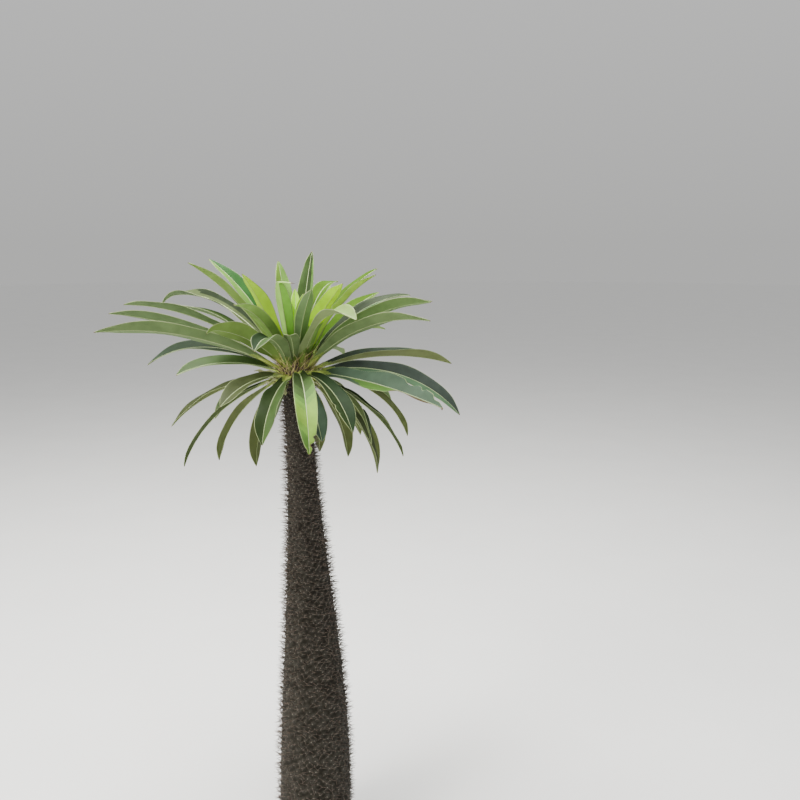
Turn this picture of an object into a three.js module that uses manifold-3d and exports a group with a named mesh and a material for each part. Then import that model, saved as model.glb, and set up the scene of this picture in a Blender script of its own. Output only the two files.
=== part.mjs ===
// Madagascar palm: a swollen, tubercled succulent trunk with a crown of strap-shaped leaves.
// Millimetres, +Z up. The origin is the centre of the flat cut at ground level, +X is the right-hand
// side of the plant as it was seen and +Y points away from the viewer. Angles are in degrees:
// azimuths turn anticlockwise from +X, lifts are measured up from the horizontal.
import * as THREE from "three";
import { mergeVertices } from "three/addons/utils/BufferGeometryUtils.js";
import Module from "manifold-3d";

const wasm = await Module();
wasm.setup();

// Trunk
const TRUNK_HEIGHT = 1200; // ground cut to the growing tip
const BASE_RADIUS = 86; // swollen foot, over the tubercles
const NECK_RADIUS = 32; // below the leaves
const TAPER_FROM = 100; // the taper runs between these heights
const TAPER_TO = 1060;
const FLARE = 7; // extra radius where the foot meets the ground
const FLARE_HEIGHT = 48;
const LEAN = 24; // how far the tip stands to the left of the foot
const LEAN_POWER = 1.6; // above 1 puts the lean in the upper part
const SWAY = 12; // bulge of the axis to the right, low down
const BACK_BOW = 8; // bulge of the axis away from the viewer
const DOME_HEIGHT = 52; // the trunk rounds off over this length below its tip
const TIP_RADIUS = 9; // flat seat of the bud on the dome

// Tubercles: a staggered lattice of low bumps
const SPIRALS = 13; // tubercles round the trunk
const ROW_PITCH = 0.29; // row spacing as a share of the trunk's radius
const SMALLEST_ROW = 4; // the rows crowd together no closer than this at the tip
const ROW_TWIST = 0.22; // turn of each row beyond the stagger, in columns
const BUMP = 0.055; // bump height as a share of the radius
const SMOOTH_FROM = 1085; // the bumps fade out over the leafy head
const SMOOTH_TO = 1120;

// Leaves
const SEAT_GAP = 0.35; // clearance between the trunk and what grows on it
const LEAF_GAP = 0.6; // smallest clearance between two leaves
const ROOT_DEPTH = 4; // how deep a leaf starts in the head before it is trimmed
const HEAD_TOP = 1188; // height of the youngest leaf bases
const HEAD_SPAN = 44; // the oldest ones are this much lower
const YOUNGEST_LIFT = 90;
const LIFT_SPAN = 130; // lift lost from the youngest to the oldest leaf
const STALK_LIFT = 14; // a stalk leaves the head at this lift, plus a share of its leaf's
const STALK_LIFT_SHARE = 0.45;
const STALK_SHARE = 0.1; // share of the length that turns from the stalk's lift to the leaf's
const LOWEST_PITCH = -86; // a hanging leaf never turns past this
const BEND_POWER = 1.4; // above 1 puts the bend near the tip
const STALK_WIDTH = 14;
const STALK_THICKNESS = 6;
const NARROWEST = 2; // a blade's edges stay this far apart up to its tip
const BLADE_THICKNESS = 5.1;
const CHANNEL = 0.2; // rise of the edges over the midrib as a share of the width
const WIDEST_LATE = 1.3; // above 1 moves a leaf's widest place towards its tip
const FULLNESS = [0.5, 0.75]; // at its foot and at its tip: below 1 makes its outline fuller
const MIDRIB_STEPS = 60;
const LEAF_ROWS = 9;
const ROOT_CROWDING = 0.45; // how much closer the rows stand at the stalk

// The growing tip: a bud and the newest leaves, each one further out and longer than the last
const BUD = [
  [0, 0],
  [8, 0],
  [8.5, 8],
  [5, 22],
  [0, 30],
]; // radius and height above the trunk's tip
const BUD_SIDES = 10;
const TUFT = { leaves: 6, azimuth: 262, lift: 88, length: 106, bend: 8, width: 16 };
const TUFT_STEP = { lift: -2.6, length: 9, width: 2 };
const TUFT_FOOT = { radius: 3, height: 9 }; // where the newest leaves start inside the bud

const GREEN = 0x5f8f3a;
const YOUNG_GREEN = 0x9fc23c;
const BARK = 0x5d4f4a;

// The leaves on the side that was seen, tier by tier. Each row: azimuth, lift, length, bend, roll, width
// and raise, which is how much higher the foot stands than the lift alone would place it.
const SEEN = {
  upright_leaf: [
    [73, 76, 258, 12, 0, 36, 2],
    [113, 72, 246, 14, 0, 38, 0],
    [261, 70, 212, 14, -8, 36, 6],
    [70, 74, 300, 83, 0, 42, -4],
    [290, 62, 220, 26, 0, 32, 6],
    [323, 68, 220, 26, -15, 42, 0],
    [226, 70, 232, 22, 15, 44, 2],
    [15, 69, 274, 40, 18, 36, -2],
    [350, 66, 259, 37, -14, 34, 4],
    [184, 61, 308, 30, 34, 42, 0],
    [157, 62, 306, 30, -26, 40, 3],
    [241, 62, 241, 55, 14, 40, 1],
  ],
  spreading_leaf: [
    [165, 32, 430, 34, 30, 46, 6],
    [142, 41, 500, 60, -10, 42, 0],
    [180, 29, 410, 26, 36, 48, -2],
    [198, 28, 414, 35, 40, 50, 2],
    [216, 47, 215, 48, 46, 54, 1],
    [254, 61, 220, 100, 0, 48, -10],
    [40, 50, 270, 34, 15, 42, 1],
    [18, 56, 304, 56, 18, 42, -5],
    [8, 49, 332, 50, 16, 42, -8],
    [348, 46, 327, 45, -30, 48, 4],
    [329, 40, 352, 46, -30, 48, 0],
    [304, 64, 298, 90, 30, 50, -4],
    [19, 13, 356, 32, 8, 52, 1],
    [164, 26, 370, 62, -22, 50, -7],
    [213, 22, 254, 44, -20, 50, -5],
    [358, 10, 374, 62, 34, 50, -2],
    [330, -3, 350, 14, 26, 60, 7],
    [148, 36, 430, 46, 8, 38, -4],
    [272, 58, 140, 54, 0, 34, 3],
  ],
  hanging_leaf: [
    [255, -6, 220, 73, 0, 46, -1],
    [282, 10, 305, 94, 0, 46, 1],
    [303, 5, 260, 66, 0, 48, 0],
    [328, -5, 241, 79, -30, 44, -4],
    [24, -8, 318, 64, 0, 46, 0],
    [296, -20, 180, 54, 0, 44, -4],
    [233, 6, 207, 44, -10, 46, -3],
    [190, -6, 280, 44, 0, 44, 0],
  ],
};

// The leaves of the far side follow one spiral, from the youngest to the oldest. A leaf that would come
// too near one already there is left out.
const GOLDEN_ANGLE = 137.508;
const SPIRAL_LEAVES = 96;
const SPIRAL_START = 80;
const FAR_SIDE = -0.2; // a spiral leaf's azimuth has at least this sine
const LEAF_NODES = 58;
const SPIRAL = {
  lift: [50, -40], // from the first leaf of the spiral to the last
  length: [300, 270],
  longest: 60, // added to the length half-way down the spiral
  bend: [24, 52],
  width: [40, 46],
};
const SPIRAL_SCATTER = { azimuth: 5, lift: 5, length: 18, bend: 8, roll: 8, width: 2 };

const radians = THREE.MathUtils.degToRad;
const clamp = THREE.MathUtils.clamp;
const mix = ([first, last], share) => first + (last - first) * share;

// A repeatable scatter from -1 to 1.
function scatter(index, salt) {
  const wave = Math.sin(index * 12.9898 + salt * 78.233) * 43758.5453;
  return 2 * (wave - Math.floor(wave)) - 1;
}

function spiralLeaf(index) {
  const age = index / (SPIRAL_LEAVES - 1);
  const longer = SPIRAL.longest * Math.sin(Math.PI * age);
  return [
    SPIRAL_START + GOLDEN_ANGLE * index + SPIRAL_SCATTER.azimuth * scatter(index, 1),
    mix(SPIRAL.lift, age) + SPIRAL_SCATTER.lift * scatter(index, 2),
    mix(SPIRAL.length, age) + longer + SPIRAL_SCATTER.length * scatter(index, 3),
    mix(SPIRAL.bend, age) + SPIRAL_SCATTER.bend * scatter(index, 4),
    SPIRAL_SCATTER.roll * scatter(index, 5),
    mix(SPIRAL.width, age) + SPIRAL_SCATTER.width * scatter(index, 6),
    0,
  ];
}

// Reshapes a unit cylinder: place(share, angle, reach) gives the point for each of its vertices, where
// share runs from 0 at its foot to 1 at its top and reach is 1 on its side and 0 at a cap's centre.
function sweep(sides, rows, place) {
  const tube = new THREE.CylinderGeometry(1, 1, 1, sides, rows, false, Math.PI / 2);
  const position = tube.getAttribute("position");
  const side = (2 * Math.PI) / sides;
  for (let i = 0; i < position.count; i++) {
    const turn = Math.round(Math.atan2(-position.getZ(i), position.getX(i)) / side);
    const angle = side * ((turn + sides) % sides);
    const reach = Math.round(Math.hypot(position.getX(i), position.getZ(i)));
    const row = Math.round((position.getY(i) + 0.5) * rows);
    const point = place(row / rows, angle, reach);
    position.setXYZ(i, point.x, point.y, point.z);
  }
  return tube;
}

// A closed geometry as a solid: shared vertices are merged and collapsed faces dropped.
function solidOf(geometry) {
  geometry.deleteAttribute("normal");
  geometry.deleteAttribute("uv");
  const merged = mergeVertices(geometry, 1e-3);
  const corners = merged.index.array;
  const kept = [];
  for (let i = 0; i < corners.length; i += 3) {
    const [a, b, c] = [corners[i], corners[i + 1], corners[i + 2]];
    if (a !== b && b !== c && a !== c) kept.push(a, b, c);
  }
  return new wasm.Manifold(
    new wasm.Mesh({
      numProp: 3,
      vertProperties: Float32Array.from(merged.getAttribute("position").array),
      triVerts: Uint32Array.from(kept),
    }),
  );
}

function geometryOf(solid) {
  const mesh = solid.getMesh();
  const geometry = new THREE.BufferGeometry();
  geometry.setAttribute("position", new THREE.BufferAttribute(mesh.vertProperties, 3));
  geometry.setIndex(new THREE.BufferAttribute(mesh.triVerts, 1));
  geometry.computeVertexNormals();
  return geometry;
}

// The trunk's axis at a height: a slight lean to the left over a low sway to the right.
function trunkAxis(z) {
  const t = clamp(z / TRUNK_HEIGHT, 0, 1);
  const sway = SWAY * Math.sin(Math.PI * t) * (1 - t);
  const bow = BACK_BOW * Math.sin(Math.PI * t);
  return new THREE.Vector3(sway - LEAN * Math.pow(t, LEAN_POWER), bow, z);
}

// Radius over the tubercles: a flared foot, a long taper, a straight neck and a round tip.
function trunkRadius(z) {
  const taper = clamp((z - TAPER_FROM) / (TAPER_TO - TAPER_FROM), 0, 1);
  const swelling = (BASE_RADIUS - NECK_RADIUS) * 0.5 * (1 + Math.cos(Math.PI * taper));
  const flare = FLARE * Math.exp(-z / FLARE_HEIGHT);
  const intoDome = clamp((z - (TRUNK_HEIGHT - DOME_HEIGHT)) / DOME_HEIGHT, 0, 1);
  const dome = Math.sqrt(1 - intoDome * intoDome);
  return (NECK_RADIUS + swelling + flare - TIP_RADIUS) * dome + TIP_RADIUS;
}

// Heights of the tubercle rows, closer together where the trunk is thinner.
function trunkRows() {
  const rows = [0];
  let z = 0;
  while (z < TRUNK_HEIGHT - SMALLEST_ROW) {
    z += Math.max(ROW_PITCH * trunkRadius(z), SMALLEST_ROW);
    rows.push(z);
  }
  return rows.map((row) => (row * TRUNK_HEIGHT) / z);
}

function trunkSolid(grown) {
  const rows = trunkRows();
  const last = rows.length - 1;
  const column = Math.PI / SPIRALS;
  const surface = sweep(2 * SPIRALS, last, (share, angle, reach) => {
    const row = Math.round(share * last);
    const z = rows[row];
    const bumps = 1 - clamp((z - SMOOTH_FROM) / (SMOOTH_TO - SMOOTH_FROM), 0, 1);
    const valley = (Math.round(angle / column) + row) % 2 !== 0 && row > 0;
    const relief = valley ? BUMP * bumps * trunkRadius(z) : 0;
    const radius = reach * (trunkRadius(z) - relief + grown);
    const turned = angle + row * ROW_TWIST * column;
    const rise = row === last ? grown : 0;
    return trunkAxis(z).add(
      new THREE.Vector3(radius * Math.cos(turned), radius * Math.sin(turned), rise),
    );
  });
  return solidOf(surface);
}

// Width of a leaf as a share of its widest, from its stalk to its tip.
function outline(s) {
  return Math.pow(Math.sin(Math.PI * Math.pow(s, WIDEST_LATE)), mix(FULLNESS, s));
}

// How much of a leaf is stalk at a place along it, from 1 at its foot to 0 where the blade begins.
function stalkShare(s) {
  return Math.pow(clamp(1 - s / STALK_SHARE, 0, 1), 2);
}

// Points and frames down a leaf's midrib. It leaves the head at its stalk's lift, turns to its own lift
// and bends down towards its tip.
function midrib([azimuth, lift, length, bend, roll, , raise]) {
  const age = clamp((YOUNGEST_LIFT - lift) / LIFT_SPAN, 0, 1);
  const foot = HEAD_TOP - HEAD_SPAN * age + raise;
  const out = new THREE.Vector3(Math.cos(radians(azimuth)), Math.sin(radians(azimuth)), 0);
  const across = new THREE.Vector3(-out.y, out.x, 0);
  const point = trunkAxis(foot).addScaledVector(out, trunkRadius(foot) - ROOT_DEPTH);
  const stalkLift = STALK_LIFT + STALK_LIFT_SHARE * lift;
  const stations = [];
  for (let i = 0; i <= MIDRIB_STEPS; i++) {
    const s = i / MIDRIB_STEPS;
    const turning = (stalkLift - lift) * stalkShare(s) - bend * Math.pow(s, BEND_POWER);
    const pitch = radians(Math.max(LOWEST_PITCH, lift + turning));
    const along = out.clone().multiplyScalar(Math.cos(pitch));
    along.z = Math.sin(pitch);
    const rolled = radians(roll) * Math.sin((Math.PI / 2) * Math.min(1, 3 * s));
    const side = across.clone().applyAxisAngle(along, rolled);
    const up = new THREE.Vector3().crossVectors(along, side);
    stations.push({ point: point.clone(), side, up });
    point.addScaledVector(along, length / MIDRIB_STEPS);
  }
  return stations;
}

// A leaf as a closed blade: a channelled section of four corners, thick at the midrib.
function leafSolid(leaf) {
  const width = leaf[5];
  const stations = midrib(leaf);
  const blade = sweep(4, LEAF_ROWS, (share, angle, reach) => {
    const s = share * (1 - ROOT_CROWDING * (1 - share));
    const { point, side, up } = stations[Math.round(s * MIDRIB_STEPS)];
    const stalk = stalkShare(s);
    const closing = share === 1 ? 0 : 1;
    const half = 0.5 * closing * Math.max(width * outline(s), STALK_WIDTH * stalk + NARROWEST);
    const thick = 0.5 * closing * mix([BLADE_THICKNESS, STALK_THICKNESS], stalk);
    const edge = reach * Math.cos(angle);
    const face = reach * Math.sin(angle);
    const lifted = Math.abs(edge) * 2 * CHANNEL * half * (1 - stalk);
    return point
      .clone()
      .addScaledVector(side, edge * half)
      .addScaledVector(up, face * thick + lifted);
  });
  return solidOf(blade);
}

// A newest leaf starts inside the bud instead of on the side of the head.
function newestLeaf(index, seat) {
  const leaf = [
    TUFT.azimuth + GOLDEN_ANGLE * index,
    TUFT.lift + TUFT_STEP.lift * index,
    TUFT.length + TUFT_STEP.length * index,
    TUFT.bend,
    0,
    TUFT.width + TUFT_STEP.width * index,
    0,
  ];
  const out = radians(leaf[0]);
  const start = midrib(leaf)[0].point;
  const shift = seat.clone().sub(start);
  return leafSolid(leaf).translate(
    shift.x + TUFT_FOOT.radius * Math.cos(out),
    shift.y + TUFT_FOOT.radius * Math.sin(out),
    shift.z + TUFT_FOOT.height,
  );
}

// The growing tip: a bud on the dome with the newest leaves rising from it, fused in one piece.
function tuftSolid() {
  const seat = trunkAxis(TRUNK_HEIGHT);
  const bud = new THREE.LatheGeometry(
    BUD.map(([radius, height]) => new THREE.Vector2(radius, height)),
    BUD_SIDES,
  );
  bud.rotateX(Math.PI / 2);
  bud.translate(seat.x, seat.y, seat.z + SEAT_GAP);
  let tuft = solidOf(bud);
  for (let i = 0; i < TUFT.leaves; i++) tuft = tuft.add(newestLeaf(i, seat));
  return tuft;
}

const group = new THREE.Group();

function addNode(name, solid, colour, roughness) {
  const material = new THREE.MeshStandardMaterial({ color: colour, roughness, metalness: 0 });
  const mesh = new THREE.Mesh(geometryOf(solid), material);
  mesh.name = name;
  group.add(mesh);
}

addNode("trunk", trunkSolid(0), BARK, 0.9);

const clearance = trunkSolid(SEAT_GAP);
const tuft = tuftSolid().subtract(clearance);
addNode("young_leaf_tuft", tuft, YOUNG_GREEN, 0.5);

const placed = [tuft];

function addLeaf(tier, number, solid) {
  placed.push(solid);
  addNode(tier + "_" + String(number).padStart(2, "0"), solid, GREEN, 0.5);
}

for (const [tier, leaves] of Object.entries(SEEN)) {
  leaves.forEach((leaf, i) => addLeaf(tier, i + 1, leafSolid(leaf).subtract(clearance)));
}

for (let i = 0; i < SPIRAL_LEAVES && placed.length <= LEAF_NODES; i++) {
  const leaf = spiralLeaf(i);
  if (Math.sin(radians(leaf[0])) < FAR_SIDE) continue;
  const solid = leafSolid(leaf).subtract(clearance);
  const isClear = placed.every((other) => solid.minGap(other, LEAF_GAP) >= LEAF_GAP);
  if (isClear) addLeaf("spiral_leaf", i, solid);
}

export default group;
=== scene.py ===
import bpy
import numpy as np
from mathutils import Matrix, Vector, noise


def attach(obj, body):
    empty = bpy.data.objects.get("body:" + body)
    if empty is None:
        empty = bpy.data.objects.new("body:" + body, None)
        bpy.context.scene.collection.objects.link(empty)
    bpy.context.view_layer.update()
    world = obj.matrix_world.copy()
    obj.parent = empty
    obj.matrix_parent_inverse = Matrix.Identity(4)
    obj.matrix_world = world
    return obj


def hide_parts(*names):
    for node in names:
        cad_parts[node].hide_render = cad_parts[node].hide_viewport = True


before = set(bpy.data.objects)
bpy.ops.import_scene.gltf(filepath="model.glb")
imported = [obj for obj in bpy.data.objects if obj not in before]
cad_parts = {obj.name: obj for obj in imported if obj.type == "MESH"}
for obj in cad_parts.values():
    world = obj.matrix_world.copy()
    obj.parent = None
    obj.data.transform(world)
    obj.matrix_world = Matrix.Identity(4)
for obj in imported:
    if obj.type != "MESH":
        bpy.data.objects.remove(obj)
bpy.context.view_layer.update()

MM = 0.001
UP = np.array([0.0, 0.0, 1.0])
GOLDEN_ANGLE = 137.508

# Trunk, as the solids have it
TRUNK_HEIGHT = 1200
BASE_RADIUS = 86
NECK_RADIUS = 32
TAPER_FROM = 100
TAPER_TO = 1060
FLARE = 7
FLARE_HEIGHT = 48
LEAN = 24
LEAN_POWER = 1.6
SWAY = 12
BACK_BOW = 8
DOME_HEIGHT = 52
TIP_RADIUS = 9

# Bark: small tubercles on one golden-angle spiral, each with spines at its top
TRUNK_COLUMNS = 192
ROW_SHARE = 0.195  # spacing of the mesh's rows as a share of the tubercles' pitch
PITCH = (10.5, 14.5)  # distance between tubercles at the neck and at the foot
PACKING = 0.866  # area of bark that a tubercle takes, as a share of its pitch squared
PLACE_JITTER = 0.24  # as a share of the pitch
SIZE_JITTER = 0.25
KNOB_HEIGHT = (0.17, 0.1)  # at the neck and at the foot, as shares of the pitch
KNOB_WIDTH = 0.56
KNOB_ABOVE = 0.46
KNOB_BELOW = 0.62
KNOB_ROUNDNESS = 0.8
# The knobs' paler tips are partly their own tone, partly a painted highlight; the crevices' darker
# finish is painted shade
KNOB_TIP = 0.72  # a knob's paler tip begins at this share of its height
CREVICE_SHADE_BELOW = 0.08
BARK_FADE = (1125, 1170)  # the knobs shrink over the leafy head
NECK_FROM = 860  # paler bark above, with a speckled border
NECK_SPECKLE = 200
WRINKLE = 0.7
WRINKLE_SCALE = 0.09

# Spines
SPINE_HEIGHTS = (0, 250, 700, 1000, 1110, 1145, 1200)
SPINE_LENGTHS = (15, 18, 20, 18, 18, 40, 44)
SPINE_WEAR = (0.25, 0.12, 0.05, 0, 0, 0, 0)  # share of the spines lost at those heights
SPINE_RADII = (0.85, 0.85, 0.85, 0.7, 0.7, 1.0, 1.0)
SPINE_SIDES = 3
SPINE_RINGS = ((0, 1), (0.5, 0.75), (1, 0.2))  # place along the spine and share of its radius
SPINE_SUNK = 1.5  # how deep in the bark a spine starts
# Each of a knob's spines: how far it goes out, to the side and up, and its share of the full length
SPINE_SPREAD = ((0.8, 0.6, 0.15, 1.0), (0.8, -0.6, 0.15, 1.0), (0.8, 0.0, 0.6, 0.7))
SPINE_SCATTER = 0.3
SPINE_LENGTH_SCATTER = 0.3
DOT = {"sunk": 2.6, "proud": 1.0, "radius": 1.5, "sides": 4}  # the pale cushion that they grow from
DOT_RINGS = ((0, 1), (1, 0.6))
SPINE_CURVES = (0.16, 0.16, 0.16, 0.2, 0.3, 0.6, 0.6)  # share of its length that a spine bows out by
LOWEST_SPINE = 14
NEW_SPINES_FROM = 1142  # brown and straw-coloured spines of the leafy head
STRAW_SHARE = 0.7
HEAD_SPINES_RISE = 0.9

# Leaves, as the solids have them
ROOT_DEPTH = 4
HEAD_TOP = 1188
HEAD_SPAN = 44
YOUNGEST_LIFT = 90
LIFT_SPAN = 130
STALK_LIFT = 14
STALK_LIFT_SHARE = 0.45
STALK_SHARE = 0.1
LOWEST_PITCH = -86
BEND_POWER = 1.4
STALK_WIDTH = 14
NARROWEST = 2
CHANNEL = 0.2
WIDEST_LATE = 1.3
FULLNESS = (0.5, 0.75)  # at the foot and at the tip
ROLL_RATE = 3  # a leaf has its full roll from a third of its length on
BLUNT = 0.12  # share of the last width that the very tip keeps

# Finer form of a leaf
LEAF_ROWS = 96
TIP_CROWDING = 0.12  # the rows lie closer towards the tip
MIDRIB_STEPS = 240
BETWEEN = (0.16, 0.4, 0.64, 0.85)  # columns between the rib and the margin
FINE_BETWEEN = (0.07, 0.15, 0.23, 0.31, 0.39, 0.47, 0.55, 0.63, 0.71, 0.79, 0.87, 0.94)
RIB_WIDTH = (1.3, 0.45)  # half the midrib's width at the foot and at the tip
RIB_DEPTH = (2.4, 0.5)  # how far it stands out below
WIDEST_RIB = 0.3  # as a share of half the leaf's width
RIDGE_REACH = 1.4  # the ridge below reaches this many half widths of the rib to each side
GROOVE = 0.45
MARGIN = 0.9  # width of the pale margin
MARGIN_FROM = 0.86  # or this share of half the width, on a narrow stretch
STALK_THICKNESS = 6
BLADE_THICKNESS = 1.4
THINNING = 0.35  # the blade is this much thinner at its margin
CHANNEL_POWER = 1.25
VEIN_SLANT = 0.42  # how far forward a side vein runs for each step outward
VEIN_DEPTH = 0.22
EDGE_ROLL = 0.9  # the margin turns down by this much
TIP_FROM = 0.985
STALK_TO = 0.14
STALK_FADES_TO = 0.2
STALK_SLANT = 0.1  # the yellow ends that much sooner along the margin
YELLOW_STALKS_BELOW = 48  # lift of the leaves whose stalks have turned yellow
WAVE = 1.8  # height of the waves along a margin
WAVES = 2.4
WAVE_FADE = 0.12  # waves and veins fade over this last share of a leaf
TWIST = 9  # most that a leaf turns about its midrib beyond its roll
WANDER = 4  # most that a midrib strays to the side
CURL_FROM = 0.86
HOOK_FROM = 0.93
BITE_BROWN = 0.35  # a bite deeper than this has a brown edge
BROWN_FROM = 0.6  # the brown starts at this share of the width
DEEPEST_BITE = 0.9

# The leaves on the side that was seen, tier by tier: azimuth, lift, length, bend, roll, width and raise
SEEN = {
    "upright_leaf": [
        (73, 76, 258, 12, 0, 36, 2),
        (113, 72, 246, 14, 0, 38, 0),
        (261, 70, 212, 14, -8, 36, 6),
        (70, 74, 300, 83, 0, 42, -4),
        (290, 62, 220, 26, 0, 32, 6),
        (323, 68, 220, 26, -15, 42, 0),
        (226, 70, 232, 22, 15, 44, 2),
        (15, 69, 274, 40, 18, 36, -2),
        (350, 66, 259, 37, -14, 34, 4),
        (184, 61, 308, 30, 34, 42, 0),
        (157, 62, 306, 30, -26, 40, 3),
        (241, 62, 241, 55, 14, 40, 1),
    ],
    "spreading_leaf": [
        (165, 32, 430, 34, 30, 46, 6),
        (142, 41, 500, 60, -10, 42, 0),
        (180, 29, 410, 26, 36, 48, -2),
        (198, 28, 414, 35, 40, 50, 2),
        (216, 47, 215, 48, 46, 54, 1),
        (254, 61, 220, 100, 0, 48, -10),
        (40, 50, 270, 34, 15, 42, 1),
        (18, 56, 304, 56, 18, 42, -5),
        (8, 49, 332, 50, 16, 42, -8),
        (348, 46, 327, 45, -30, 48, 4),
        (329, 40, 352, 46, -30, 48, 0),
        (304, 64, 298, 90, 30, 50, -4),
        (19, 13, 356, 32, 8, 52, 1),
        (164, 26, 370, 62, -22, 50, -7),
        (213, 22, 254, 44, -20, 50, -5),
        (358, 10, 374, 62, 34, 50, -2),
        (330, -3, 350, 14, 26, 60, 7),
        (148, 36, 430, 46, 8, 38, -4),
        (272, 58, 140, 54, 0, 34, 3),
    ],
    "hanging_leaf": [
        (255, -6, 220, 73, 0, 46, -1),
        (282, 10, 305, 94, 0, 46, 1),
        (303, 5, 260, 66, 0, 48, 0),
        (328, -5, 241, 79, -30, 44, -4),
        (24, -8, 318, 64, 0, 46, 0),
        (296, -20, 180, 54, 0, 44, -4),
        (233, 6, 207, 44, -10, 46, -3),
        (190, -6, 280, 44, 0, 44, 0),
    ],
}

# The far side's leaves follow one spiral: the node names say which of them the plant has
SPIRAL_LEAVES = 96
SPIRAL_START = 80
SPIRAL = {"lift": (50, -40), "length": (300, 270), "longest": 60, "bend": (24, 52), "width": (40, 46)}
SPIRAL_SCATTER = {"azimuth": 5, "lift": 5, "length": 18, "bend": 8, "roll": 8, "width": 2}

# The growing tip
BUD = ((0, 8), (8, 8.5), (22, 5), (30, 1))  # height above the trunk's tip and radius
BUD_SIDES = 24
TUFT = {"leaves": 6, "azimuth": 262, "lift": 88, "length": 106, "bend": 8, "width": 16, "wave": 0.6}
TUFT_STEP = {"lift": -2.6, "length": 9, "width": 2}
TUFT_FOOT = {"radius": 3, "height": 9}

# Dried remains of old stalks under the crown, as rows like those of the leaves
DRIED_STALKS = [
    (184, -2, 58, 16, 10, 8, -6),
    (193, 6, 66, -6, -20, 9, -1),
    (201, -8, 52, 22, 15, 8, -4),
    (172, -14, 46, 30, -10, 9, -3),
    (222, -20, 40, 40, 0, 8, -5),
    (246, -34, 34, 50, 20, 8, -4),
    (352, 12, 46, -30, 25, 7, -2),
    (336, -12, 40, 30, 0, 8, -5),
    (20, -4, 50, 20, -20, 8, -6),
    (55, -10, 44, 30, 10, 9, -3),
    (92, -2, 50, 26, 0, 8, -6),
    (128, -16, 42, 36, -15, 9, -4),
    (150, 4, 54, 10, 20, 8, -7),
]
DRIED_FORM = {"wave": 2.5, "curl": 30}


def shade_and_light_bands(side, slant, **ends):
    """Patches of a leaf's upper side that follow one another from its foot, each to its own end: steps
    of painted shade and painted light.
    """
    begins = (0.0, *ends.values())
    return [
        ("upper_" + key, side, begin, end, slant, 0)
        for begin, (key, end) in zip(begins, ends.items())
    ]


# What is particular to a leaf. A curl turns its end down by so many degrees, a twist turns it about its
# midrib towards its tip, and a hook moves its tip sideways. A fold deepens its channel by that factor, a
# wave is the height of the waves along its margin, and shares are its columns if it has finer ones.
# A bite is a side, a place, a span and a depth. A patch is a finish, a side, a begin and an end along
# the leaf, how far they shift from the midrib to the margin, and the share of the width where it starts.
# Patches paint light and shade: a lighter patch is a painted sunlit stretch, a darker one painted shade.
EXTRAS = {
    # lighter outer stripes on both halves: painted light
    "upright_leaf_01": {
        "light_and_shade_patches": [("upper_green", 1, 0.25, 0.9, 0.1, 0.5), ("upper_leek", -1, 0.2, 0.97, 0.1, 0.6)],
    },
    # two tones across the lower side: painted light and shade
    "upright_leaf_03": {"hook": 42, "curl": 20, "light_and_shade_patches": [("under_bright", 1, 0.0, 0.96, 0, 0)]},
    "upright_leaf_04": {"wave": 2.6},
    # a darker lower stretch on both halves: painted shade
    "upright_leaf_06": {
        "light_and_shade_patches": [("under_sap", 1, 0.0, 0.45, 0, 0), ("under_sap", -1, 0.0, 0.4, 0, 0)],
    },
    # a darker stretch on one half: painted shade
    "spreading_leaf_02": {
        "curl": 30,
        "wave": 3.0,
        "fold": 1.5,
        "light_and_shade_patches": [("upper_smoke", -1, 0.12, 0.64, 0.1, 0.35)],
    },
    "spreading_leaf_05": {"curl": 35},
    "spreading_leaf_12": {"wave": 6.0, "twist": -24, "curl": -12},
    "spreading_leaf_13": {"twist": -22, "fold": 1.8},
    "spreading_leaf_14": {"twist": -10},
    # a lighter stretch on one half: painted sunlight
    "spreading_leaf_17": {
        "wave": 4.0,
        "bites": [(-1, 0.86, 0.26, 1.6), (1, 0.7, 0.05, 0.2), (1, 0.8, 0.02, 0.2), (1, 0.92, 0.03, 0.3)],
        "light_and_shade_patches": [("upper_leek", -1, 0.34, 0.7, 0.1, 0)],
    },
    "hanging_leaf_01": {"wave": 3.4},
    # painted shade near the foot grading into painted light towards the tip
    "hanging_leaf_02": {
        "wave": 3.2,
        "shares": FINE_BETWEEN,
        "bites": [(1, 0.93, 0.02, 0.6), (1, 0.87, 0.014, 0.35), (-1, 0.96, 0.012, 0.3)],
        "light_and_shade_patches": [
            *shade_and_light_bands(-1, -0.1, dark=0.5, holly=0.55, green=0.6, leek=0.65, fresh=0.7),
            ("upper_fresh", -1, 0.82, 0.88, -0.1, 0),
            ("upper_leek", -1, 0.88, 1.0, -0.1, 0),
            *shade_and_light_bands(1, -0.1, dark=0.4, holly=0.47, green=0.54, leek=0.61, fresh=0.66),
        ],
    },
    "hanging_leaf_03": {"wave": 2.8, "bites": [(-1, 0.72, 0.02, 0.25), (-1, 0.8, 0.012, 0.2)]},
    "hanging_leaf_04": {"wave": 2.6, "bites": [(1, 0.62, 0.014, 0.22)]},
}

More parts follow.
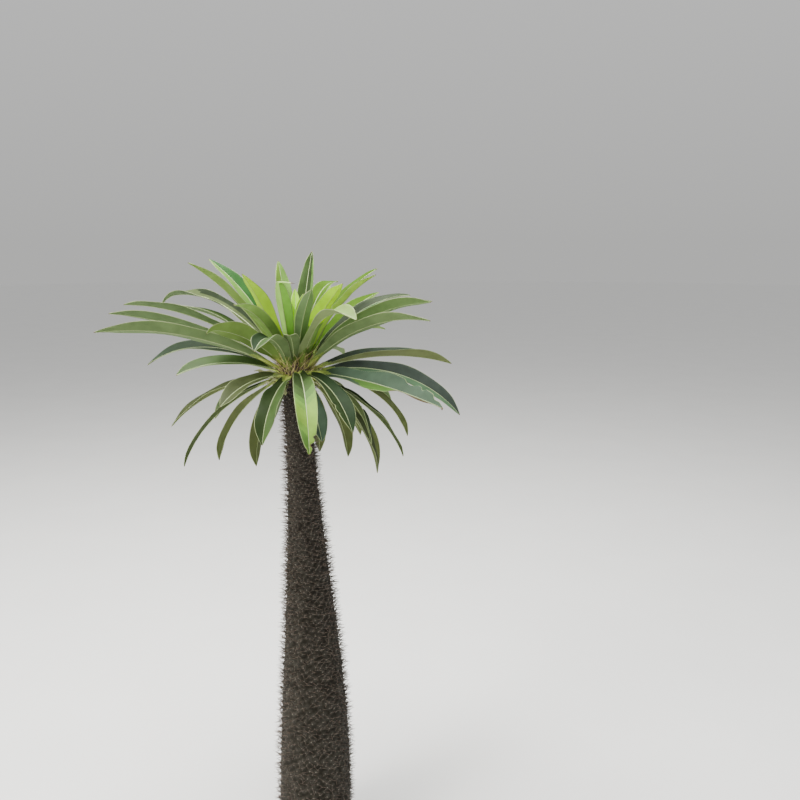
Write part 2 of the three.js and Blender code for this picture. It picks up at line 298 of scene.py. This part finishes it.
# Plain colours, dealt out leaf by leaf: partly each leaf's own green, partly painted light and shade
UPPER = {
    "deep": (0.012, 0.026, 0.009),
    "dark": (0.019, 0.034, 0.009),
    "green": (0.040, 0.074, 0.019),
    "grass": (0.053, 0.108, 0.013),
    "leek": (0.064, 0.136, 0.026),
    "fresh": (0.098, 0.200, 0.030),
    "spring": (0.130, 0.235, 0.030),
    # lime and citron are partly the young leaves' own yellow-green, partly a painted back-lit glow
    "lime": (0.230, 0.470, 0.004),
    "citron": (0.175, 0.390, 0.012),
    "teal": (0.019, 0.080, 0.013),
    "jade": (0.050, 0.100, 0.050),
    # steel, slate and flint are partly a painted sheen, the bluish grey of a reflected sky
    "steel": (0.042, 0.072, 0.044),
    "smoke": (0.019, 0.026, 0.015),
    "slate": (0.022, 0.036, 0.020),
    "flint": (0.037, 0.050, 0.040),
    "holly": (0.033, 0.061, 0.016),
    "dull": (0.038, 0.049, 0.017),
    "pale": (0.126, 0.200, 0.048),
    "ash": (0.056, 0.074, 0.032),
    "straw": (0.520, 0.500, 0.290),
    "dust": (0.300, 0.270, 0.150),
}
MATT = ("smoke", "ash", "grass")  # upper sides with no shine
UPPER_SHINE = 0.1
# Lower sides are lighter partly by their own paler green, partly by painted light shining through
UNDER = {
    # glow is a painted back-lit glow; bright, lemon and corn are partly own yellow-green, partly painted
    # glow
    "glow": (0.300, 0.520, 0.110),
    "bright": (0.200, 0.460, 0.058),
    "lime": (0.460, 0.800, 0.006),
    "lemon": (0.330, 0.540, 0.025),
    "corn": (0.420, 0.660, 0.090),
    "sprout": (0.125, 0.205, 0.066),
    "sap": (0.185, 0.320, 0.070),
    "haze": (0.190, 0.250, 0.100),
    "light": (0.150, 0.240, 0.055),
    "willow": (0.112, 0.168, 0.064),
    "sage": (0.085, 0.130, 0.052),
    "moss": (0.050, 0.072, 0.022),
    "olive": (0.090, 0.112, 0.038),
    "drab": (0.120, 0.146, 0.056),
    "blue": (0.125, 0.200, 0.080),
    "straw": (0.460, 0.440, 0.250),
}
DETAIL = {
    "rib": (0.290, 0.350, 0.180),
    "under_rib": (0.300, 0.370, 0.160),
    "margin": (0.250, 0.300, 0.140),
    "stalk": (0.380, 0.460, 0.090),
    "stalk_end": (0.200, 0.270, 0.060),
    "young_stalk": (0.200, 0.280, 0.060),
    "young_stalk_end": (0.110, 0.180, 0.035),
    "tip": (0.130, 0.090, 0.045),
}

# A pattern is a roughness, a mottle and its scale, a relief and its scale, and a specular level
UPPER_PATTERN = (0.55, 0.16, 45, 0.05, 500)
UNDER_PATTERN = (0.7, 0.12, 45, 0.05, 500, 0.05)
DETAIL_PATTERN = (0.6, 0.14, 120, 0.3, 700, 0.15)

# Finishes of the trunk: a name, a colour and a pattern
TRUNK_FINISHES = {
    # bark is darker than bark's own grey-brown, partly painted shade; knob is partly a painted
    # highlight; crevice is painted shade
    "bark": ("bark", (0.0205, 0.0185, 0.0130), 0.85, 0.3, 60, 0.9, 420, 0.2),
    "neck": ("bark_neck", (0.036, 0.031, 0.026), 0.85, 0.3, 60, 0.9, 420, 0.2),
    "knob": ("bark_knob_and_highlight", (0.036, 0.033, 0.026), 0.8, 0.35, 160, 0.8, 500, 0.2),
    "crevice": ("bark_crevice_shade", (0.012, 0.010, 0.007), 0.9, 0.3, 120, 0.8, 500, 0.15),
    "head": ("bark_head", (0.095, 0.064, 0.058), 0.8, 0.35, 160, 0.8, 500, 0.2),
    "dot": ("spine_cushion", (0.230, 0.210, 0.175), 0.85, 0.3, 200, 0.5, 700, 0.1),
    "spine": ("spine", (0.060, 0.044, 0.035), 0.6, 0.25, 200, 0.2, 900, 0.3),
    "spine_tip": ("spine_tip", (0.120, 0.092, 0.072), 0.55, 0.2, 200, 0.2, 900, 0.3),
    "new_spine": ("new_spine", (0.120, 0.080, 0.060), 0.5, 0.25, 200, 0.2, 900, 0.3),
    "straw": ("straw_spine", (0.560, 0.470, 0.210), 0.5, 0.2, 200, 0.2, 900, 0.3),
}
MOTTLE_STOPS = (0.3, 0.7)
GLOSS_SPREAD = 0.08

# Colours of each leaf that was seen: its upper side, or that side's halves on the -1 and on the +1 side,
# and its lower side. Where the halves differ, one half is painted in light and the other in painted
# shade
LOOKS = {
    "upright_leaf": "dark+holly/sage fresh+spring/light lime/glow grass/light green/blue lime/lime "
    "citron/lemon grass/light spring/corn fresh/light teal+fresh/light fresh/sap",
    "spreading_leaf": "green/sage ash/sage green/sage green/willow green/light deep+holly/willow "
    "grass/willow teal+dark/moss green/light green/sprout green/willow pale/haze slate/drab slate/moss "
    "holly/willow jade+flint/olive steel/blue green/sage green/willow",
    "hanging_leaf": "dark+green/moss spring/sage dark+deep/moss dark/moss dull/olive steel/blue "
    "dull/olive dull/olive",
}
SPIRAL_LOOKS = "fresh/light grass/light green/willow green/sage dark/moss dull/olive"


def mix(pair, share):
    return pair[0] + (pair[1] - pair[0]) * share


def scatter(index, salt):
    """A repeatable scatter from -1 to 1."""
    wave = np.sin(index * 12.9898 + salt * 78.233) * 43758.5453
    return 2 * (wave - np.floor(wave)) - 1


def heading(azimuth):
    turn = np.radians(azimuth)
    return np.stack([np.cos(turn), np.sin(turn), np.zeros_like(turn)], -1)


class Heap:
    """Closed surfaces of rings, gathered into one mesh with a finish for each face."""

    def __init__(self, finishes):
        self.finishes = list(finishes)
        self.points = []
        self.faces = []
        self.shades = []
        self.count = 0

    def shade(self, name):
        return self.finishes.index(name)

    def add(self, rings, shades):
        """rings[tube, row, place] are points; shades has the finish of the face that starts at each."""
        index = self.count + np.arange(rings[..., 0].size).reshape(rings.shape[:3])
        beside = np.roll(index, -1, axis=2)
        quads = np.stack([index[:, :-1], beside[:, :-1], beside[:, 1:], index[:, 1:]], -1)
        self.points.append(rings.reshape(-1, 3))
        self.faces += quads.reshape(-1, 4).tolist() + index[:, 0, ::-1].tolist() + index[:, -1].tolist()
        self.shades += np.concatenate([shades.reshape(-1), shades[:, 0, 0], shades[:, -1, 0]]).tolist()
        self.count += index.size

    def piece(self, name, nodes):
        mesh = bpy.data.meshes.new(name)
        mesh.from_pydata((np.concatenate(self.points) * MM).tolist(), [], self.faces)
        for finish in self.finishes:
            mesh.materials.append(finish_of[finish])
        mesh.polygons.foreach_set("material_index", np.array(self.shades, dtype=np.int32))
        mesh.polygons.foreach_set("use_smooth", np.ones(len(self.faces), dtype=bool))
        mesh.update()
        made = bpy.data.objects.new(name, mesh)
        bpy.context.scene.collection.objects.link(made)
        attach(made, "root")
        if nodes:
            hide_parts(*nodes)
        return made


# Materials


def patterned(name, colour, roughness, mottle, scale, bump, bump_scale, specular):
    """A finish whose colour, roughness and relief wander with noise."""
    made = bpy.data.materials.new(name)
    made.use_nodes = True
    nodes = made.node_tree.nodes
    links = made.node_tree.links
    shader = nodes["Principled BSDF"]
    shader.inputs["Specular IOR Level"].default_value = specular
    place = nodes.new("ShaderNodeTexCoord")

    def cloud(size, detail):
        texture = nodes.new("ShaderNodeTexNoise")
        texture.inputs["Scale"].default_value = size
        texture.inputs["Detail"].default_value = detail
        links.new(place.outputs["Object"], texture.inputs["Vector"])
        return texture.outputs["Fac"]

    ramp = nodes.new("ShaderNodeValToRGB")
    strengths = (1 - mottle, 1 + mottle)
    for stop, position, strength in zip(ramp.color_ramp.elements, MOTTLE_STOPS, strengths):
        stop.position = position
        stop.color = (*[min(1.0, c * strength) for c in colour], 1)
    links.new(cloud(scale, 4), ramp.inputs["Fac"])
    links.new(ramp.outputs["Color"], shader.inputs["Base Color"])

    gloss = nodes.new("ShaderNodeMapRange")
    gloss.inputs["To Min"].default_value = roughness - GLOSS_SPREAD
    gloss.inputs["To Max"].default_value = roughness + GLOSS_SPREAD
    links.new(cloud(scale * 2, 3), gloss.inputs["Value"])
    links.new(gloss.outputs["Result"], shader.inputs["Roughness"])

    relief = nodes.new("ShaderNodeBump")
    relief.inputs["Strength"].default_value = bump
    relief.inputs["Distance"].default_value = MM
    links.new(cloud(bump_scale, 5), relief.inputs["Height"])
    links.new(relief.outputs["Normal"], shader.inputs["Normal"])
    return made


finish_of = {}
for key, colour in UPPER.items():
    shine = 0 if key in MATT else UPPER_SHINE
    finish_of["upper_" + key] = patterned("leaf_upper_" + key, colour, *UPPER_PATTERN, shine)
for key, colour in UNDER.items():
    finish_of["under_" + key] = patterned("leaf_under_" + key, colour, *UNDER_PATTERN)
for key, colour in DETAIL.items():
    finish_of[key] = patterned("leaf_" + key, colour, *DETAIL_PATTERN)
for key, finish in TRUNK_FINISHES.items():
    finish_of[key] = patterned(*finish)

# Trunk


def trunk_axis(z):
    """The trunk's axis at a height: a slight lean to the left over a low sway to the right."""
    z = np.asarray(z, dtype=float)
    t = np.clip(z / TRUNK_HEIGHT, 0, 1)
    sway = SWAY * np.sin(np.pi * t) * (1 - t)
    bow = BACK_BOW * np.sin(np.pi * t)
    return np.stack([sway - LEAN * t**LEAN_POWER, bow, z], -1)


def trunk_radius(z):
    """Radius over the tubercles: a flared foot, a long taper, a straight neck and a round tip."""
    z = np.asarray(z, dtype=float)
    taper = np.clip((z - TAPER_FROM) / (TAPER_TO - TAPER_FROM), 0, 1)
    swelling = (BASE_RADIUS - NECK_RADIUS) * 0.5 * (1 + np.cos(np.pi * taper))
    flare = FLARE * np.exp(-z / FLARE_HEIGHT)
    into_dome = np.clip((z - (TRUNK_HEIGHT - DOME_HEIGHT)) / DOME_HEIGHT, 0, 1)
    dome = np.sqrt(1 - into_dome**2)
    return (NECK_RADIUS + swelling + flare - TIP_RADIUS) * dome + TIP_RADIUS


def swelling_at(z):
    """How swollen the trunk is: 0 at its neck, 1 at its foot."""
    return np.clip((trunk_radius(z) - NECK_RADIUS) / (BASE_RADIUS - NECK_RADIUS), 0, 1)


def pitch_at(z):
    """Distance between neighbouring tubercles: wider on the swollen foot."""
    return mix(PITCH, swelling_at(z))


def tubercles():
    """Height, azimuth and size of each tubercle, up one spiral from the ground."""
    heights = []
    z = 0.0
    while z < TRUNK_HEIGHT - TIP_RADIUS:
        heights.append(z)
        z += PACKING * pitch_at(z) ** 2 / (2 * np.pi * trunk_radius(z))
    z = np.array(heights)
    number = np.arange(len(z))
    shift = PLACE_JITTER * pitch_at(z)
    azimuth = GOLDEN_ANGLE * number + np.degrees(shift * scatter(number, 31) / trunk_radius(z))
    return np.stack([z + shift * scatter(number, 32), azimuth, 1 + SIZE_JITTER * scatter(number, 33)], 1)


def knob_height(z, azimuths, knobs):
    """How far up a knob the bark is round one ring, from 0 in a crevice to 1 on a tip."""
    pitch = pitch_at(z)
    near = knobs[np.abs(knobs[:, 0] - z) < pitch]
    size = pitch * near[:, 2]
    turn = (azimuths[:, None] - near[None, :, 1] + 180) % 360 - 180
    sideways = np.radians(turn) * trunk_radius(z) / (KNOB_WIDTH * size)
    upward = np.broadcast_to((z - near[:, 0]) / size, turn.shape)
    upward = np.where(upward > 0, upward / KNOB_ABOVE, upward / KNOB_BELOW)
    domes = np.clip(1 - sideways**2 - upward**2, 0, 1) ** KNOB_ROUNDNESS * near[:, 2]
    return np.minimum(domes.max(axis=1), 1)


def make_trunk(knobs):
    heights = [0.0]
    while heights[-1] < TRUNK_HEIGHT:
        heights.append(heights[-1] + ROW_SHARE * float(pitch_at(heights[-1])))
    heights = np.array(heights) * TRUNK_HEIGHT / heights[-1]
    azimuths = np.arange(TRUNK_COLUMNS) * 360 / TRUNK_COLUMNS
    outward = heading(azimuths)
    heap = Heap(("bark", "neck", "knob", "crevice", "head"))
    rings = []
    rises = []
    for z in heights:
        fade = 1 - np.clip((z - BARK_FADE[0]) / (BARK_FADE[1] - BARK_FADE[0]), 0, 1)
        rise = knob_height(z, azimuths, knobs)
        radius = trunk_radius(z) - mix(KNOB_HEIGHT, swelling_at(z)) * pitch_at(z) * fade * (1 - rise)
        ring = trunk_axis(z) + outward * radius[:, None]
        worn = [noise.noise(Vector(point) * WRINKLE_SCALE) for point in ring]
        rings.append(ring - outward * (WRINKLE * (1 + np.array(worn))[:, None]))
        rises.append(rise)
    rises = np.array(rises)[:-1]
    speckle = NECK_SPECKLE * scatter(np.arange(rises.size), 18).reshape(rises.shape)
    shades = np.where(heights[:-1, None] + speckle > NECK_FROM, heap.shade("neck"), heap.shade("bark"))
    # Knob tips take a paler finish, partly a painted highlight, and crevices a darker one, painted shade
    shades = np.where(rises > KNOB_TIP, heap.shade("knob"), shades)
    shades = np.where(rises < CREVICE_SHADE_BELOW, heap.shade("crevice"), shades)
    shades = np.where(heights[:-1, None] > NEW_SPINES_FROM, heap.shade("head"), shades)
    heap.add(np.array(rings)[None], shades[None])
    return heap.piece("trunk_bark", ["trunk"])


def add_tubes(heap, roots, ways, reaches, radii, curves, profile, sides, shades):
    """Tapering tubes of a few sides, each bowed out to one side of its way."""
    along, thick = np.array(profile).T
    first = np.cross(ways, UP)
    first = first / np.linalg.norm(first, axis=1)[:, None]
    second = np.cross(ways, first)
    bow = curves[:, None, None] * first[:, None]
    path = ways[:, None] * along[:, None] + bow * along[:, None] ** 2
    middles = roots[:, None] + reaches[:, None, None] * path
    turn = np.arange(sides) * 2 * np.pi / sides
    round_it = first[:, None] * np.cos(turn)[:, None] + second[:, None] * np.sin(turn)[:, None]
    rings = middles[:, :, None] + radii[:, None, None, None] * thick[:, None, None] * round_it[:, None]
    heap.add(rings, shades[..., None].repeat(sides, axis=2))


def make_spines(knobs):
    """Fine spines in threes on every knob, two to the sides and one above, from a pale cushion."""
    heap = Heap(("spine", "spine_tip", "new_spine", "straw", "dot"))
    knobs = knobs[knobs[:, 0] > LOWEST_SPINE]
    count = len(knobs)
    z, azimuth, size = knobs.T
    outward = heading(azimuth)
    add_tubes(
        heap,
        trunk_axis(z) + outward * (trunk_radius(z) - DOT["sunk"])[:, None],
        outward,
        np.full(count, DOT["sunk"] + DOT["proud"]),
        DOT["radius"] * size,
        np.zeros(count),
        DOT_RINGS,
        DOT["sides"],
        np.full((count, 1), heap.shade("dot")),
    )

    z, azimuth, size = np.repeat(knobs, len(SPINE_SPREAD), axis=0).T
    out, sideways, rise, share = np.tile(SPINE_SPREAD, (count, 1)).T
    rise = rise + np.where(z > NEW_SPINES_FROM, HEAD_SPINES_RISE, 0)
    number = np.arange(len(z))
    kept = 0.5 * (1 + scatter(number, 11)) >= np.interp(z, SPINE_HEIGHTS, SPINE_WEAR)
    z, azimuth, out, sideways, rise, share, number = [
        row[kept] for row in (z, azimuth, out, sideways, rise, share, number)
    ]
    outward = heading(azimuth)
    across = np.cross(UP, outward)
    ways = (
        outward * (out + SPINE_SCATTER * scatter(number, 12))[:, None]
        + across * (sideways + SPINE_SCATTER * scatter(number, 13))[:, None]
        + UP * (rise + SPINE_SCATTER * scatter(number, 14))[:, None]
    )
    longer = 1 + SPINE_LENGTH_SCATTER * scatter(number, 15)
    brown = scatter(number, 17) < 1 - 2 * STRAW_SHARE
    fresh = np.where(brown, heap.shade("new_spine"), heap.shade("straw"))
    shank = np.where(z > NEW_SPINES_FROM, fresh, heap.shade("spine"))
    end = np.where(z > NEW_SPINES_FROM, fresh, heap.shade("spine_tip"))
    add_tubes(
        heap,
        trunk_axis(z) + outward * (trunk_radius(z) - SPINE_SUNK)[:, None],
        ways / np.linalg.norm(ways, axis=1)[:, None],
        np.interp(z, SPINE_HEIGHTS, SPINE_LENGTHS) * share * longer,
        np.interp(z, SPINE_HEIGHTS, SPINE_RADII),
        np.interp(z, SPINE_HEIGHTS, SPINE_CURVES) * scatter(number, 16),
        SPINE_RINGS,
        SPINE_SIDES,
        np.stack([shank, end], 1),
    )
    return heap.piece("trunk_spines", [])


# Leaves


def spiral_leaf(index):
    age = index / (SPIRAL_LEAVES - 1)
    longer = SPIRAL["longest"] * np.sin(np.pi * age)
    return (
        SPIRAL_START + GOLDEN_ANGLE * index + SPIRAL_SCATTER["azimuth"] * scatter(index, 1),
        mix(SPIRAL["lift"], age) + SPIRAL_SCATTER["lift"] * scatter(index, 2),
        mix(SPIRAL["length"], age) + longer + SPIRAL_SCATTER["length"] * scatter(index, 3),
        mix(SPIRAL["bend"], age) + SPIRAL_SCATTER["bend"] * scatter(index, 4),
        SPIRAL_SCATTER["roll"] * scatter(index, 5),
        mix(SPIRAL["width"], age) + SPIRAL_SCATTER["width"] * scatter(index, 6),
        0,
    )


def outline(s):
    """Width of a leaf as a share of its widest, from its stalk to its tip."""
    s = np.clip(s, 0, 1)
    return np.clip(np.sin(np.pi * s**WIDEST_LATE), 0, 1) ** mix(FULLNESS, s)


def stalk_share(s):
    """How much of a leaf is stalk: 1 at its foot, 0 where the blade begins."""
    return np.clip(1 - s / STALK_SHARE, 0, 1) ** 2


def midrib(leaf, curl=0, hook=0, twist=0, wander=0):
    """Points, sides and uppers down a leaf's midrib, by the solids' rule in finer steps."""
    azimuth, lift, length, bend, roll, _, raised = leaf
    age = np.clip((YOUNGEST_LIFT - lift) / LIFT_SPAN, 0, 1)
    foot = HEAD_TOP - HEAD_SPAN * age + raised
    out = heading(azimuth)
    across = np.cross(UP, out)
    s = np.linspace(0, 1, MIDRIB_STEPS + 1)
    stalk_lift = STALK_LIFT + STALK_LIFT_SHARE * lift
    turning = (stalk_lift - lift) * stalk_share(s) - bend * s**BEND_POWER
    turning = turning - curl * np.clip((s - CURL_FROM) / (1 - CURL_FROM), 0, 1)
    pitch = np.radians(np.maximum(LOWEST_PITCH, lift + turning))
    along = np.outer(np.cos(pitch), out) + np.outer(np.sin(pitch), UP)
    steps = (along[1:] + along[:-1]) * 0.5 * length / MIDRIB_STEPS
    start = trunk_axis(foot) + out * (trunk_radius(foot) - ROOT_DEPTH)
    points = start + np.concatenate([np.zeros((1, 3)), np.cumsum(steps, axis=0)])
    rolled = np.radians(roll * np.sin(np.pi / 2 * np.minimum(1, ROLL_RATE * s)) + twist * s**2)
    side = across * np.cos(rolled)[:, None] + np.cross(along, across) * np.sin(rolled)[:, None]
    stray = wander * np.sin(np.pi * s) + hook * np.clip((s - HOOK_FROM) / (1 - HOOK_FROM), 0, 1) ** 2
    return points + side * stray[:, None], side, np.cross(along, side)


def sampled(stations, s):
    """The stations' values at any places along the midrib."""
    place = np.clip(s, 0, 1) * MIDRIB_STEPS
    low = np.minimum(place.astype(int), MIDRIB_STEPS - 1)
    share = (place - low)[..., None]
    return stations[low] * (1 - share) + stations[low + 1] * share


def half_width(s, width):
    half = 0.5 * np.maximum(width * outline(s), STALK_WIDTH * stalk_share(s) + NARROWEST)
    return half * np.where(s < 1, 1, BLUNT)


def bitten(s, side, bites):
    """How much of a side's width is missing at each place."""
    missing = np.zeros_like(s)
    for which, at, span, depth in bites:
        if which == side:
            missing = missing + depth * np.clip(1 - ((s - at) / span) ** 2, 0, 1)
    return np.minimum(missing, DEEPEST_BITE)


def columns(half, rib, shares):
    """Distances from the midrib of one side's columns, from its margin inward."""
    inner = np.maximum(half - MARGIN, MARGIN_FROM * half)
    between = [rib + (inner - rib) * share for share in shares]
    return [half, inner, *between[::-1], rib]


def add_leaf(
    heap,
    leaf,
    number,
    look,
    shift=(0, 0, 0),
    wave=WAVE,
    curl=0,
    hook=0,
    twist=0,
    fold=1,
    bites=(),
    light_and_shade_patches=(),
    shares=BETWEEN,
):
    """One leaf: a thin channelled blade with a midrib, side veins and a pale rolled margin."""
    length, width = leaf[2], leaf[5]
    twist = twist + TWIST * scatter(number, 24)
    points, sides, uppers = midrib(leaf, curl, hook, twist, WANDER * scatter(number, 25))
    points = points + shift
    t = np.linspace(0, 1, LEAF_ROWS + 1)
    s = t + TIP_CROWDING * t * (1 - t)
    half = half_width(s, width)
    missing = {side: bitten(s, side, bites) for side in (1, -1)}
    rib = np.minimum(mix(RIB_WIDTH, s), WIDEST_RIB * half)
    right = columns(half * (1 - missing[1]), rib, shares)
    left = columns(half * (1 - missing[-1]), rib, shares)
    top = [*right[1:], 0 * half, *[-x for x in left[:0:-1]]]
    x = np.stack([right[0], *top, -left[0], *top[::-1]], 1)
    around = x.shape[1]
    above = np.zeros(around)
    above[1 : len(top) + 1] = 1
    above[len(top) + 2 :] = -1

    full = np.where(x > 0, right[0][:, None], left[0][:, None])
    f = np.abs(x) / full
    stalk = stalk_share(s)[:, None]
    fade = np.clip((1 - s) / WAVE_FADE, 0, 1)[:, None] * (1 - stalk)
    place = s[:, None] + VEIN_SLANT * np.abs(x) / length * fade
    place[-1] = 1
    turns = WAVES + scatter(number, 21)
    swing = np.where(x > 0, scatter(number, 22), scatter(number, 23)) * np.pi
    channel = (np.abs(x) / half[:, None]) ** CHANNEL_POWER
    lift = 2 * CHANNEL * fold * half[:, None] * channel * (1 - stalk)
    lift = lift + wave * fade * f**2 * np.sin(2 * np.pi * turns * place + swing)
    lift = lift - EDGE_ROLL * fade * f**8
    vein = VEIN_DEPTH * fade * (np.arange(LEAF_ROWS + 1) % 2)[:, None] * (1 - f**4)
    round_off = np.sqrt(np.clip(1 - f**2, 0, 1)) * stalk + (1 - THINNING * f) * (1 - stalk)
    thick = 0.5 * (BLADE_THICKNESS + (STALK_THICKNESS - BLADE_THICKNESS) * stalk) * round_off
    ridge = np.clip(1 - np.abs(x) / (RIDGE_REACH * rib[:, None]), 0, 1) * (1 - stalk)
    deep = mix(RIB_DEPTH, s)[:, None] * ridge
    height = lift - vein + above * thick
    height = height - np.where(above > 0, GROOVE * ridge, 0) - np.where(above < 0, deep, 0)
    height[-1] = lift[-1]
    rings = (
        sampled(points, place)
        + sampled(sides, place) * x[..., None]
        + sampled(uppers, place) * height[..., None]
    )

    upper, under = look.split("/")
    is_upper = np.broadcast_to(np.arange(around) < len(top) + 1, (LEAF_ROWS, around))
    on_side = np.sign(x + np.roll(x, -1, axis=1))[:-1]
    # Halves of two colours paint one half lit and the other in shade
    left_upper, right_upper = [heap.shade("upper_" + key) for key in (upper.split("+") * 2)[:2]]
    shades = np.where(on_side > 0, right_upper, left_upper)
    shades = np.where(is_upper, shades, heap.shade("under_" + under))
    # Patches paint sunlit and shaded stretches over the leaf's own colours
    for name, side, begin, finish, slant, inner in light_and_shade_patches:
        along = s[:-1, None] - slant * f[:-1]
        inside = (is_upper == name.startswith("upper")) & (on_side == side) & (f[:-1] >= inner)
        shades = np.where(inside & (along > begin) & (along < finish), heap.shade(name), shades)
    middle = len(top) // 2
    shades[:, [middle, middle + 1]] = heap.shade("rib")
    shades[:, [middle + len(top) + 1, middle + len(top) + 2]] = heap.shade("under_rib")
    shades[:, [0, len(top), len(top) + 1, around - 1]] = heap.shade("margin")
    stalk_finish = "stalk" if leaf[1] < YELLOW_STALKS_BELOW else "young_stalk"
    yellowing = s[:-1, None] + STALK_SLANT * f[:-1]
    shades = np.where(yellowing < STALK_FADES_TO, heap.shade(stalk_finish + "_end"), shades)
    shades = np.where(yellowing < STALK_TO, heap.shade(stalk_finish), shades)
    shades[s[:-1] > TIP_FROM] = heap.shade("tip")
    for side in (1, -1):
        eaten = (missing[side][:-1, None] > BITE_BROWN) & (on_side == side) & (f[:-1] > BROWN_FROM)
        shades = np.where(eaten, heap.shade("tip"), shades)
    heap.add(rings[None], shades[None])


def leaf_finishes(looks, extras=()):
    uppers = {"upper_" + key for look in looks for key in look.split("/")[0].split("+")}
    unders = {"under_" + look.split("/")[1] for look in looks}
    patched = {patch[0] for extra in extras for patch in extra.get("light_and_shade_patches", ())}
    return [*sorted(uppers | unders | patched), *DETAIL]


def make_tier(tier):
    looks = LOOKS[tier].split()
    nodes = [f"{tier}_{number + 1:02d}" for number in range(len(looks))]
    extras = [EXTRAS.get(node, {}) for node in nodes]
    heap = Heap(leaf_finishes(looks, extras))
    for number, (leaf, look, extra) in enumerate(zip(SEEN[tier], looks, extras)):
        add_leaf(heap, leaf, number + 1, look, **extra)
    return heap.piece(tier.replace("leaf", "leaves"), nodes)


def make_spiral():
    looks = SPIRAL_LOOKS.split()
    heap = Heap(leaf_finishes(looks))
    nodes = sorted(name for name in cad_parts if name.startswith("spiral_leaf_"))
    for name in nodes:
        index = int(name.rsplit("_", 1)[1])
        look = looks[index * len(looks) // SPIRAL_LEAVES]
        add_leaf(heap, spiral_leaf(index), index, look)
    return heap.piece("spiral_leaves", nodes)


def make_tuft():
    heap = Heap(("upper_lime", "under_lemon", *DETAIL))
    seat = trunk_axis(TRUNK_HEIGHT)
    turn = np.arange(BUD_SIDES) * 360 / BUD_SIDES
    bud = np.array([seat + UP * height + radius * heading(turn) for height, radius in BUD])
    heap.add(bud[None], np.full((1, len(BUD) - 1, BUD_SIDES), heap.shade("under_lemon")))
    for index in range(TUFT["leaves"]):
        leaf = (
            TUFT["azimuth"] + GOLDEN_ANGLE * index,
            TUFT["lift"] + TUFT_STEP["lift"] * index,
            TUFT["length"] + TUFT_STEP["length"] * index,
            TUFT["bend"],
            0,
            TUFT["width"] + TUFT_STEP["width"] * index,
            0,
        )
        root = seat + TUFT_FOOT["radius"] * heading(leaf[0]) + TUFT_FOOT["height"] * UP
        add_leaf(heap, leaf, index, "lime/lemon", root - midrib(leaf)[0][0], TUFT["wave"])
    return heap.piece("young_leaves", ["young_leaf_tuft"])


def make_dried_stalks():
    heap = Heap(("upper_straw", "under_straw", "upper_dust", *DETAIL))
    for number, row in enumerate(DRIED_STALKS):
        add_leaf(heap, row, number, "straw+dust/straw", **DRIED_FORM)
    return heap.piece("dried_stalks", [])


knobs = tubercles()
make_trunk(knobs)
make_spines(knobs)
for tier in SEEN:
    make_tier(tier)
make_spiral()
make_tuft()
make_dried_stalks()

# Floor, light and camera

CAMERA_PLACE = (0.211, -1.903, 1.45)
CAMERA_PITCH = 10.5  # degrees below the horizon
CAMERA_FOCAL = 858  # pixels
IMAGE_SIZE = 800
SENSOR = 36
FLOOR_RADIUS = 30
FLOOR_SIDES = 96
FLOOR_COLOUR = (0.66, 0.66, 0.65)
FLOOR_PATTERN = (0.9, 0.015, 3, 0.05, 60, 0.1)
SKY_STRENGTH = 0.8
SKY_CLEARS_AT = 0.6

rim = FLOOR_RADIUS * heading(np.arange(FLOOR_SIDES) * 360 / FLOOR_SIDES)
floor_mesh = bpy.data.meshes.new("floor")
floor_mesh.from_pydata(rim.tolist(), [], [list(range(FLOOR_SIDES))])
floor_mesh.materials.append(patterned("floor", FLOOR_COLOUR, *FLOOR_PATTERN))
floor = bpy.data.objects.new("floor", floor_mesh)
bpy.context.scene.collection.objects.link(floor)


def area_light(name, place, target, size, power, colour):
    data = bpy.data.lights.new(name, "AREA")
    data.shape = "DISK"
    data.size = size
    data.energy = power
    data.color = colour
    lamp = bpy.data.objects.new(name, data)
    lamp.location = place
    lamp.rotation_euler = (Vector(target) - Vector(place)).to_track_quat("-Z", "Y").to_euler()
    bpy.context.scene.collection.objects.link(lamp)


CROWN = (0, 0, 1.2)
area_light("sky", (-0.6, 0.3, 4.2), CROWN, 3.0, 520, (1.0, 0.99, 0.95))
area_light("key", (-2.4, -2.0, 3.2), CROWN, 1.6, 180, (1.0, 0.97, 0.92))
area_light("fill", (3.2, 0.4, 2.0), CROWN, 2.4, 30, (0.92, 0.96, 1.0))

# The sky fades to the floor's own brightness at the horizon, so that no line shows there
world = bpy.data.worlds.new("world")
world.use_nodes = True
nodes = world.node_tree.nodes
links = world.node_tree.links
direction = nodes.new("ShaderNodeTexCoord")
split = nodes.new("ShaderNodeSeparateXYZ")
fade = nodes.new("ShaderNodeValToRGB")
links.new(direction.outputs["Generated"], split.inputs["Vector"])
links.new(split.outputs["Z"], fade.inputs["Fac"])
fade.color_ramp.elements[0].position = 0.0
fade.color_ramp.elements[0].color = (*FLOOR_COLOUR, 1)
fade.color_ramp.elements[1].position = SKY_CLEARS_AT
fade.color_ramp.elements[1].color = (1, 1, 1, 1)
links.new(fade.outputs["Color"], nodes["Background"].inputs["Color"])
nodes["Background"].inputs["Strength"].default_value = SKY_STRENGTH
bpy.context.scene.world = world

camera_data = bpy.data.cameras.new("camera")
camera_data.sensor_width = SENSOR
camera_data.lens = SENSOR * CAMERA_FOCAL / IMAGE_SIZE
camera = bpy.data.objects.new("camera", camera_data)
camera.location = CAMERA_PLACE
camera.rotation_euler = (np.radians(90 - CAMERA_PITCH), 0, 0)
bpy.context.scene.collection.objects.link(camera)
bpy.context.scene.camera = camera

bpy.context.view_layer.update()
